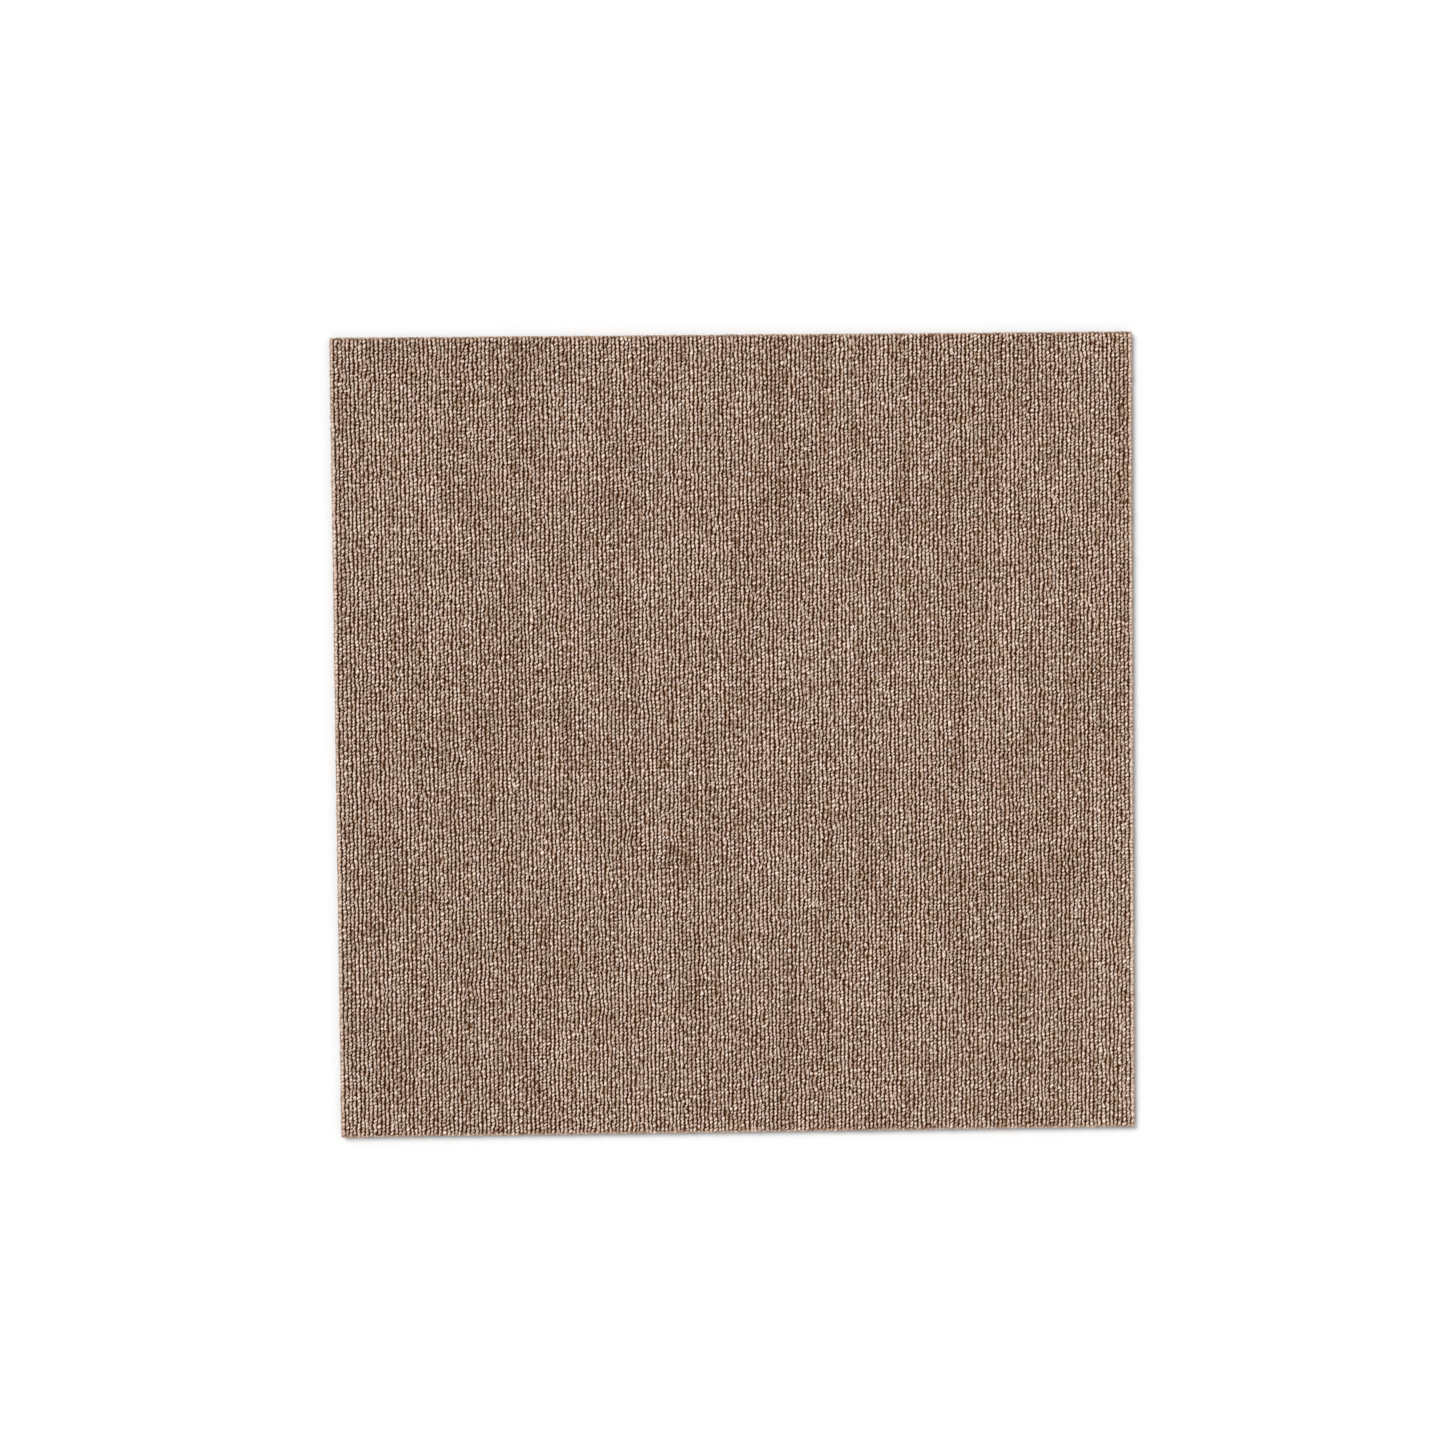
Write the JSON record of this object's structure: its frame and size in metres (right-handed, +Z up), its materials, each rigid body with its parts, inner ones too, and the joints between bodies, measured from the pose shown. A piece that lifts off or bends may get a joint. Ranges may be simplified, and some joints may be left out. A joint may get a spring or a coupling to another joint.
{
  "type": "carpet tile",
  "caption": "Square loop-pile carpet tile with straight tufted rows of heathered brown yarn on a heavy flat backing, laid loose or glued edge to edge as flooring.",
  "frame": {"origin": "centre of the underside, which lies on the floor", "axes": "+Z up through the thickness to the pile, +X across the tufted rows, +Y along the rows"},
  "size_m": [0.5, 0.5, 0.0061],
  "materials": {
    "backing_slab": "matte",
    "primary_backing": "matte",
    "pile_yarn": "matte"
  },
  "bodies": {
    "root": {"backing_slab": "backing_slab", "primary_backing": "primary_backing", "loop_pile": "pile_yarn"}
  },
  "joints": []
}
